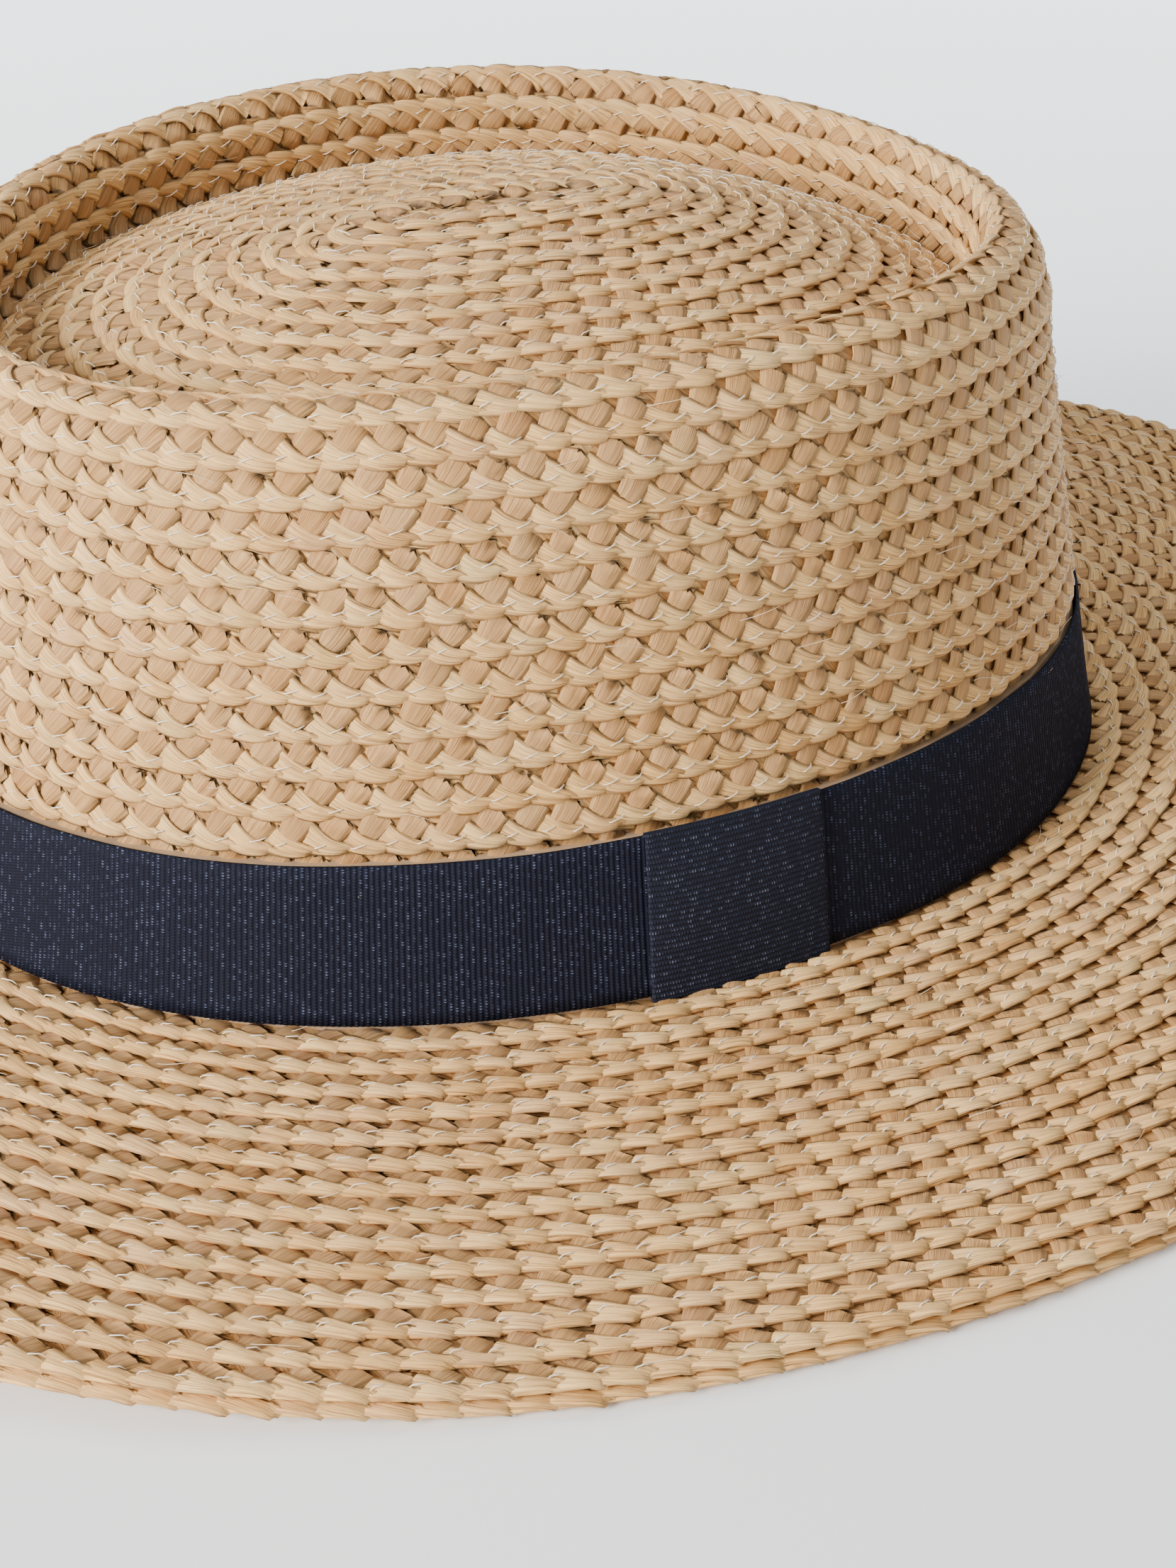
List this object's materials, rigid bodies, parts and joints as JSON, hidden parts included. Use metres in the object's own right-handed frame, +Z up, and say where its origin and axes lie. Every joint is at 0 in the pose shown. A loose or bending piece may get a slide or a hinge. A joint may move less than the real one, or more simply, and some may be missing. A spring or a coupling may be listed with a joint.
{
  "type": "sun hat",
  "caption": "Braided straw sun hat with an oval telescope crown, a wide near-flat brim and a ribbon band; worn on the head to shade the face and neck.",
  "frame": {"origin": "centre of the bounding box's bottom face, on the surface that the brim's edge rests on", "axes": "+Z up out of the crown's tip; Y along the hat's long axis, front at -Y; +X to the wearer's left"},
  "size_m": [0.3276, 0.364, 0.1017],
  "materials": {
    "raffia_braid": "matte",
    "grosgrain_ribbon": "matte",
    "keeper_ribbon": "matte",
    "sweatband_cotton": "matte",
    "sewing_thread": "satin"
  },
  "bodies": {
    "root": {"band_keeper": "keeper_ribbon", "band_seat_rows": "raffia_braid", "brim_edge_row": "raffia_braid", "brim_inner_rows": "raffia_braid", "brim_middle_rows": "raffia_braid", "brim_outer_rows": "raffia_braid", "hatband": "grosgrain_ribbon", "inner_wall_rows": "raffia_braid", "shoulder_rows": "raffia_braid", "side_lower_rows": "raffia_braid", "side_middle_rows": "raffia_braid", "side_upper_rows": "raffia_braid", "sweatband": "sweatband_cotton", "tip_inner_rows": "raffia_braid", "tip_middle_rows": "raffia_braid", "tip_outer_rows": "raffia_braid", "tip_start_rows": "raffia_braid"}
  },
  "joints": []
}
